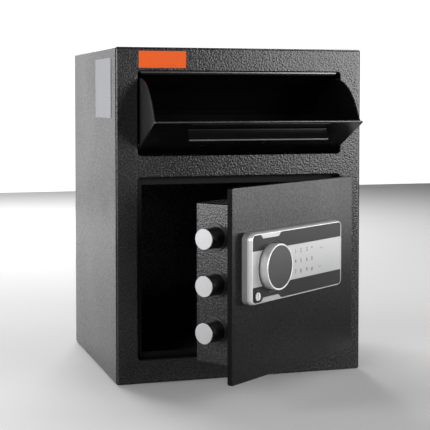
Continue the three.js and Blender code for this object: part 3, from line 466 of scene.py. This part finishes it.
def paint(obj, *names):
    obj.data.materials.clear()
    for name in names:
        obj.data.materials.append(MATERIALS[name])
    return obj


def dress(name, mesh, place, body, stands_for, finish, second, where, angle=35):
    """A piece with a second finish on the faces that `where` picks in the drawing."""
    picked = [face.index for face in mesh.polygons if where(face)]
    obj = paint(piece(name, mesh, place, body, stands_for, angle), finish, second)
    for i in picked:
        obj.data.polygons[i].material_index = 1
    return obj


# CAD pieces that are shown: modifiers soften their edges and smooth their round faces
SMOOTH_ANGLE = 33
BEVEL_ANGLE = 40
WELD_DISTANCE = 0.00001

smooth = bpy.data.node_groups.new("smooth_by_angle", "GeometryNodeTree")
smooth.interface.new_socket("Geometry", in_out="INPUT", socket_type="NodeSocketGeometry")
smooth.interface.new_socket("Geometry", in_out="OUTPUT", socket_type="NodeSocketGeometry")
entry = smooth.nodes.new("NodeGroupInput")
leave = smooth.nodes.new("NodeGroupOutput")
faces = smooth.nodes.new("GeometryNodeSetShadeSmooth")
faces.domain = "FACE"
edges = smooth.nodes.new("GeometryNodeSetShadeSmooth")
edges.domain = "EDGE"
edges.inputs["Shade Smooth"].default_value = False
bend = smooth.nodes.new("GeometryNodeInputMeshEdgeAngle")
sharp = smooth.nodes.new("ShaderNodeMath")
sharp.operation = "GREATER_THAN"
sharp.inputs[1].default_value = math.radians(SMOOTH_ANGLE)
for output, socket in (
    (entry.outputs[0], faces.inputs["Geometry"]),
    (faces.outputs["Geometry"], edges.inputs["Geometry"]),
    (bend.outputs["Unsigned Angle"], sharp.inputs[0]),
    (sharp.outputs[0], edges.inputs["Selection"]),
    (edges.outputs["Geometry"], leave.inputs[0]),
):
    smooth.links.new(output, socket)


def soften(obj, edge):
    """Rounds a CAD piece's edges by a width in millimetres, unless it is 0, and evens its shading."""
    obj.modifiers.new("weld", "WELD").merge_threshold = WELD_DISTANCE
    if edge:
        bevel = obj.modifiers.new("edge", "BEVEL")
        bevel.width = edge * MM
        bevel.segments = 2
        bevel.limit_method = "ANGLE"
        bevel.angle_limit = math.radians(BEVEL_ANGLE)
        bevel.use_clamp_overlap = True
    obj.modifiers.new("smooth", "NODES").node_group = smooth
    even_normals(obj)


# A CAD piece's finish is its record's slot, and its edge the usual one, unless these say otherwise
finish_of = {row["node"]: row["material_slot"] for row in frame["record"]["subparts"]}
for finish, nodes in (
    # Painted shade on the parts in the hopper's well
    ("well_shade_black", ("hopper_baffle", "hopper_bracket_left", "hopper_bracket_right", "hopper_open_stop")),
    ("case_black", ("lock_case", "lock_case_cover")),
    ("hopper_black", ("hopper_side_right",)),
    # Painted light: the hopper's left side plate is a lighter grey than its right one
    ("satin_grey", ("hopper_side_left",)),
    # Painted shade on the door's stop frame
    ("frame_shade_black", ("door_stop_frame",)),
    ("key_silver", ("key_plug",)),
    ("film_black", ("key_cylinder",)),
):
    finish_of.update(dict.fromkeys(nodes, finish))
USUAL_EDGE = 0.35
edge_of = {}
for edge, nodes in (
    (0.8, ("lock_case", "floor_mat")),
    (0.5, ("hopper_side_left", "hopper_side_right", "hopper_open_stop", "battery_lid", "battery_box")),
    (0, ("front_label", "side_label")),
):
    edge_of.update(dict.fromkeys(nodes, edge))
# These pieces' bevelled edges take that lighter black, a painted highlight along them
HIGHLIGHT_EDGED = ("hopper_side_left", "hopper_side_right", "lock_case", "lock_case_cover")
for name, obj in frame["nodes"].items():
    paint(obj, finish_of.get(name, "textured_black"))
    soften(obj, edge_of.get(name, USUAL_EDGE))
    if name in HIGHLIGHT_EDGED:
        obj.data.materials.append(MATERIALS["worn_black"])
        obj.modifiers["edge"].material = 1

# Front panel: its bends and both openings' edges are rounded, and the side bends carry a painted highlight
DOOR_OPENING = (-145, 145, 32, 276, 5)
HOPPER_OPENING = (-145, 145, 305.5, 418.5, 5)
front = plate_mesh(
    (rounded_outer(-175, 175, 0, 450, 3), seamed(2, 0.3, 1.2, 1.4)),
    [
        (rounded_hole(*DOOR_OPENING), edge_profile(2, 0, 1.8, 0.1)),
        (rounded_hole(*HOPPER_OPENING), edge_profile(2, 0, 1.2, 0.1)),
    ],
)
dress(
    "front_face", front, CABINET, "cabinet", ["front_panel"], "textured_black", "worn_black",
    lambda face: 171.8 < abs(face.center.x) < 173.8 and face.center.y < 1.3,
)

# Thin strip under the head of the hopper's opening, in the lighter black of a painted highlight
strip = prism_mesh(rounded(-140, 140, 416, 418.1, 1, 6), 3.2, 3.8, 0.25)
paint(piece("hopper_head_strip", strip, CABINET, "cabinet"), "worn_black")

# Door plate, matt round its edge, with holes for the knob's spindle and the key
plate = plate_mesh(
    (rounded_outer(-143.5, 142.5, 34, 274, 3), edge_profile(4, -3, 1.1, 0.8)),
    [
        (round_hole(KNOB, 5), edge_profile(4, -3, 0.3)),
        (round_hole(KEY, 8), edge_profile(4, -3, 0.3)),
    ],
)
dress(
    "door_face", plate, DOOR, "door", ["door_plate"], "door_black", "edge_black",
    lambda face: face.center.y > -2.2,
)


# Hopper front with a round edge and a hem, and its rolled pull
def drawn_across(outline, x0, x1, edge):
    """An outline in y and z drawn from x0 to x1."""
    mesh = prism_mesh([(-y, z) for y, z in outline], x0, x1, edge, edge, 2)
    mesh.transform(Matrix.Rotation(math.radians(-90), 4, "Z"))
    return mesh


def joined(*meshes):
    bm = bmesh.new()
    for part in meshes:
        bm.from_mesh(part)
        bpy.data.meshes.remove(part)
    return finished(bm, "joined")


panel = plate_mesh((rounded_outer(-143.5, 143.5, 307.5, 417, 4), edge_profile(2, 0, 1.4)), [])
hem = box_mesh(((-138.5, 138.5), (1.6, 3.0), (413, 417)), 0.6, 3)
# The panel's top edge takes the lighter black, a painted highlight
dress(
    "hopper_face", joined(panel, hem), HOPPER, "hopper", ["hopper_front"],
    "hopper_black", "worn_black",
    lambda face: face.center.z > 415.4 and 0 < face.center.y < 1.5,
)

# The pull's section: its ledge, the roll along the ledge's front, the bend and the flange on the panel
pull = drawn_across([
    (-0.3, 399.5), *arc(-17.3, 400.6, 1.1, -90, -248.7, 14),
    (-3.6, 401.0), (-2.7, 401.3), (-2.1, 401.9), (-1.8, 402.8),
    (-1.8, 415.2), (-1.55, 415.8), (-1.1, 416), (-0.3, 416),
], -95.5, 95.5, 0.3)
# The roll takes the brighter black, a painted highlight
dress(
    "hopper_pull_rolled", pull, HOPPER, "hopper", ["hopper_pull"], "pull_black", "worn_bright",
    lambda face: face.center.y < -16.2,
)

# Bolts: bright turned ends on bodies darkened as painted shade, in collars where they leave the lock case
BOLT_RADIUS = 13
BOLT_LENGTH = 43.97
BOLT_BACK_X = -112.4
BOLT_Y = 30
CASE_X = -131
GROOVE_DEPTH = 0.14
GROOVE_PITCH = 2
MARK_DEPTH = 0.015
MARK_PITCH = 1.02


def bolt_profile():
    """The (radius, height) pairs: fine grooves round the body and turning marks on the end."""
    grooves = []
    floor = BOLT_RADIUS - GROOVE_DEPTH
    for k in range(11):
        h = 21 + k * GROOVE_PITCH
        grooves += [(BOLT_RADIUS, h), (floor, h + 0.25), (floor, h + 0.55), (BOLT_RADIUS, h + 0.8)]
    marks = []
    for k in range(1, 11):
        r = 11.2 - k * MARK_PITCH
        marks += [(r + 0.30, BOLT_LENGTH), (r + 0.15, BOLT_LENGTH - MARK_DEPTH), (r, BOLT_LENGTH)]
    return [
        (0, 0.5), (12.5, 0.5), (BOLT_RADIUS, 1.0), (BOLT_RADIUS, 20), *grooves, (BOLT_RADIUS, 43.1),
        *arc(12.3, 43.3, 0.7, 0, 90, 5), (11.6, BOLT_LENGTH), *marks, (0, BOLT_LENGTH),
    ]


for level, z in (("top", 211.5), ("middle", 154), ("bottom", 96.5)):
    mesh = turned_mesh(bolt_profile(), 128)
    mesh.transform(facing_left(BOLT_BACK_X, BOLT_Y, z))
    dress(
        f"bolt_{level}_turned", mesh, DOOR, "bolts", [f"bolt_{level}"], "black_steel", "bolt_end",
        lambda face: face.center.x < -155.5,
    )
    # The collars are dark satin rings: partly a hole rim, partly painted shadow of the bolts on the case
    collar = turned_mesh([(13.4, 0), (17, 0), *arc(16.5, 0.7, 0.5, 0, 90, 4), (13.4, 1.2), (13.4, 0)], 96)
    collar.transform(facing_left(CASE_X, BOLT_Y, z))
    paint(piece(f"bolt_collar_{level}", collar, DOOR, "door"), "satin_black")

# Keypad: its outline in x and z, and the radii of the knob's well and the key's hole
KEYPAD_LEFT, KEYPAD_RIGHT, KEYPAD_BOTTOM, KEYPAD_TOP = -123.5, 90.5, 130, 218
WELL_RADIUS = 32
KEY_RADIUS = 8


def cut(mesh, cutters):
    """Cuts drawn meshes out of another."""
    obj = linked("loose", mesh)
    tools = [linked("loose", cutter) for cutter in cutters]
    for tool in tools:
        m = obj.modifiers.new("cut", "BOOLEAN")
        m.operation = "DIFFERENCE"
        m.solver = "EXACT"
        m.object = tool
    result = evaluated(obj)
    for used in [obj, *tools]:
        bpy.data.objects.remove(used)
    return result


def round_cutter(centre, radius, depth, sides):
    """Sinks a round hole of a depth into the keypad's face."""
    mesh = turned_mesh([(0, -depth), (radius, -depth), (radius, 20), (0, 20)], sides)
    mesh.transform(facing_front(centre[0], KEYPAD_Y, centre[1]))
    return mesh


def round_cutters(well_radius):
    return [round_cutter(KNOB, well_radius, 6, 128), round_cutter(KEY, KEY_RADIUS, 12, 64)]


def inlay_outline(hand, gap):
    """The dark field above (1) or below (-1) the silver band, notched for the silver tab."""
    left, right = KEYPAD_LEFT + 2.9 + gap, KEYPAD_RIGHT - 3.6 - gap
    inner, outer, notch = 22 + gap, 41.5 - gap, 36.5 - gap
    tab = -80.5
    points = [
        (left, inner, 1.2), (left, outer, 6.0),
        (tab - 22.5 - gap, outer, 1.6), (tab - 17 - gap, notch, 1.6),
        (tab + 17 + gap, notch, 1.6), (tab + 22.5 + gap, outer, 1.6),
        (right, outer, 5.0), (right, inner, 0.8),
    ]
    outline = fillet([(u, KNOB[1] + hand * v, r) for u, v, r in points])
    return outline[::-1] if hand > 0 else outline


def keypad_outline(inset):
    """The left edge is rounded more broadly than the others."""
    return rounded(KEYPAD_LEFT + 1.3 * inset, KEYPAD_RIGHT - inset,
                   KEYPAD_BOTTOM + inset, KEYPAD_TOP - inset, 9 - inset, 14)


# The housing's front edge is rounded over a width and a depth, and its sloping faces take a brighter silver, a
# painted highlight
RIM_WIDTH = 2.2
RIM_DEPTH = 8
rim = [(RIM_WIDTH * (1 + u), KEYPAD_Y + RIM_DEPTH * (1 + v)) for u, v in arc(0, 0, 1, 180, 90, 14)]
shell = plate_mesh((keypad_outline, [(0, -3.3), *rim]), [])
beds = [prism_mesh(inlay_outline(hand, 0), -19, -16.5) for hand in (1, -1)]
housing = cut(shell, beds + round_cutters(WELL_RADIUS))
dress(
    "keypad_case", housing, DOOR, "door", ["keypad_housing"], "silver", "knob_silver_and_rim_highlight",
    lambda face: face.center.y < -11 and -0.99 < face.normal.y < -0.1, 30,
)

for hand, level in ((1, "upper"), (-1, "lower")):
    field = prism_mesh(inlay_outline(hand, 0.25), KEYPAD_Y + 0.25, -16.45, 0.15, 0, 2)
    mesh = cut(field, round_cutters(WELL_RADIUS + 0.1))
    inlay = piece(f"keypad_film_{level}", mesh, DOOR, "door", [f"keypad_inlay_{level}"], 30)
    paint(inlay, "film_black")

# Knob with a silver rim round a dark cap
knob = turned_mesh([
    (0, 9.6), (26.9, 9.6), (26.9, 10.7),
    *arc(27.1, 10.7, 0.2, 180, -90, 3),
    *arc(27.7, 9.9, 1.1, 75, -75, 6),
    (28.75, 3.0), (28.55, 2.7), (28.55, 2.3), (28.7, 2.0),
    (28.65, -3.0), (28.2, -3.4), (4.4, -3.4), (4.4, 6), (0, 6),
], 160)
cap = turned_mesh([(0, 9.7), (26.6, 9.7), *arc(26.2, 10.2, 0.4, 0, 90, 3), (12, 10.68), (0, 10.7)], 160)
for name, mesh, slot, node, finish in (
    ("knob_ring", knob, "silver", "knob", "knob_silver_and_rim_highlight"),
    ("knob_disc", cap, "gloss_black", "knob_cap", "gloss_black"),
):
    mesh.transform(facing_front(KNOB[0], KEYPAD_Y, KNOB[1]))
    paint(piece(name, mesh, DOOR, "knob", [node]), finish)

# Keypad figures, in a plain type
FIGURE_ROWS = (("123*", 187.2), ("4560", 174.2), ("789#", 160.7))
FIGURE_COLUMNS = (-24.6, -12.3, 2.1, 14.3)
FIGURE_SIZE = 7.4
FIGURE_THICKENING = 0.05


def figures():
    bm = bmesh.new()
    for row, z in FIGURE_ROWS:
        for text, x in zip(row, FIGURE_COLUMNS):
            data = bpy.data.curves.new("figure", "FONT")
            data.body = text
            data.size = FIGURE_SIZE
            data.offset = FIGURE_THICKENING
            data.align_x = "CENTER"
            data.align_y = "CENTER"
            data.extrude = PRINT_DEPTH
            holder = linked("figure", data)
            mesh = evaluated(holder)
            mesh.transform(facing_front(x, PRINT_Y, z))
            bm.from_mesh(mesh)
            bpy.data.objects.remove(holder)
            bpy.data.meshes.remove(mesh)
    return finished(bm, "figures")


paint(piece("keypad_figures", figures(), DOOR, "door"), "print_grey")

# Two faint arcs beside them
bands = []
for x, z, start in ((37.8, 182.4, 30), (34.2, 165.2, 210)):
    inner, outer = (arc(x, z, r, start, 120, 16) for r in (3.7, 4.5))
    bands.append(prism_mesh(inner + outer[::-1], PRINT_Y, KEYPAD_Y))
paint(piece("keypad_arcs", joined(*bands), DOOR, "door"), "print_pale")

# The set: half its width and depth, its cards' height, and the floor just under the part
SET_X = 3
SET_Y = 3.2
CARD_TOP = 3
FLOOR_Z = -0.0004
BACKDROP_GLOW = 0.95


def plain(name, grey, rough):
    return Nodes(name).surface(Base_Color=(grey, grey, grey), Roughness=rough)


def seen(tree):
    """1 for rays from the camera, off a shiny surface and through glass, and 0 for the rest."""
    path = tree.nodes.new("ShaderNodeLightPath")
    value = path.outputs["Is Camera Ray"]
    for kind in ("Is Glossy Ray", "Is Transmission Ray"):
        either = tree.nodes.new("ShaderNodeMath")
        either.operation = "MAXIMUM"
        tree.links.new(value, either.inputs[0])
        tree.links.new(path.outputs[kind], either.inputs[1])
        value = either.outputs[0]
    return value


def backdrop_paper():
    """White paper that glows where it is seen, and lights nothing."""
    n = Nodes("backdrop_paper")
    return n.surface(
        Base_Color=(0.2, 0.2, 0.2),
        Roughness=0.9,
        Emission_Color=(1, 1, 1),
        Emission_Strength=n.math("MULTIPLY", seen(n.tree), BACKDROP_GLOW),
    )


def sheet(name, near, far, bottom, top, material):
    """A sheet from one point of the plan to another: it lies flat where bottom and top are the same."""
    (x0, y0), (x1, y1) = near, far
    if bottom == top:
        corners = [(x0, y0, top), (x1, y0, top), (x1, y1, top), (x0, y1, top)]
    else:
        corners = [(x0, y0, bottom), (x1, y1, bottom), (x1, y1, top), (x0, y0, top)]
    mesh = bpy.data.meshes.new(name)
    mesh.from_pydata(corners, [], [(0, 1, 2, 3)])
    mesh.materials.append(material)
    obj = linked(name, mesh)
    return obj


sheet("floor", (-SET_X, -SET_Y), (SET_X, SET_Y), FLOOR_Z, FLOOR_Z, plain("floor_paper", 0.60, 0.8))
sheet("backdrop", (-2 * SET_X, SET_Y), (2 * SET_X, SET_Y), FLOOR_Z, 4, backdrop_paper())

# Dark cards round the set and on its floor, one of them grey, which only darken what the object mirrors
card = plain("card", 0.03, 0.9)
grey_card = plain("grey_card", 0.30, 0.9)
for name, near, far, bottom, top in (
    ("card_floor_front", (-0.45, -SET_Y), (0.36, -0.17), 0, 0),
    ("card_floor_right", (0.36, -SET_Y), (SET_X, 0.15), 0, 0),
    ("card_floor_left", (-SET_X, -SET_Y), (-0.45, -0.1), 0, 0),
    ("card_front", (-SET_X, -SET_Y), (SET_X, -SET_Y), 0, CARD_TOP),
    ("card_left", (-SET_X, -SET_Y), (-SET_X, 0.9), 0, CARD_TOP),
    ("card_top", (-SET_X, -SET_Y), (SET_X, 3.1), CARD_TOP, CARD_TOP),
    ("card_right", (SET_X, -SET_Y), (SET_X, 1.6), 0, CARD_TOP),
):
    obj = sheet(name, near, far, bottom, top, grey_card if name == "card_floor_front" else card)
    obj.visible_camera = False
    obj.visible_shadow = False
    obj.visible_diffuse = not name.startswith("card_floor")


# Lights
def softbox(name, place, target, width, height, radiance):
    """A rectangular light that faces a target and looks equally bright at any size."""
    data = bpy.data.lights.new(name, "AREA")
    data.shape = "RECTANGLE"
    data.size = width
    data.size_y = height
    data.energy = radiance * math.pi * width * height
    obj = linked(name, data)
    obj.location = place
    obj.rotation_euler = (Vector(target) - Vector(place)).to_track_quat("-Z", "Y").to_euler()


softbox("front_right", (1.407, -2.2, 0.757), (0.1, -0.15, 0.3), 1.2, 1.2, 9.7)
softbox("right", (1.5, -0.346, 0.523), (0.1, -0.2, 0.25), 0.9, 1.0, 4.2)
softbox("left", (-1.5, -0.216, 0.516), (-0.1, -0.25, 0.2), 0.6, 0.9, 7.8)
softbox("front_left", (-1.25, -1.45, 0.75), (0, -0.3, 0.2), 0.8, 0.8, 7.0)
softbox("behind", (-0.3, 2.2, 1.7), (-0.3, 0.8, 0), 2.0, 1.0, 13.0)

# A world that is white where it is seen and lights the object faintly
WORLD_LIGHT = 0.1
WORLD_SEEN = 1.0

world = bpy.data.worlds.new("studio")
bpy.context.scene.world = world
world.use_nodes = True
tree = world.node_tree
tree.nodes.clear()
blend = tree.nodes.new("ShaderNodeMixShader")
tree.links.new(seen(tree), blend.inputs["Fac"])
for socket, strength in ((blend.inputs[1], WORLD_LIGHT), (blend.inputs[2], WORLD_SEEN)):
    background = tree.nodes.new("ShaderNodeBackground")
    background.inputs["Color"].default_value = (1, 1, 1, 1)
    background.inputs["Strength"].default_value = strength
    tree.links.new(background.outputs["Background"], socket)
end = tree.nodes.new("ShaderNodeOutputWorld")
tree.links.new(blend.outputs["Shader"], end.inputs["Surface"])

# Camera, as solved from the photograph's perspective, looking slightly down and to the right
CAMERA_DOWN = 2.462
CAMERA_RIGHT = 16.883

data = bpy.data.cameras.new("camera")
data.sensor_width = 36
data.lens = 98.95
data.shift_y = -0.1492
data.clip_start = 0.05
data.clip_end = 50
camera = linked("camera", data)
camera.location = (-0.50213, -1.68006, 0.37978)
camera.rotation_euler = (math.radians(90 - CAMERA_DOWN), 0, math.radians(-CAMERA_RIGHT))
bpy.context.scene.camera = camera
bpy.context.scene.view_settings.view_transform = "Standard"
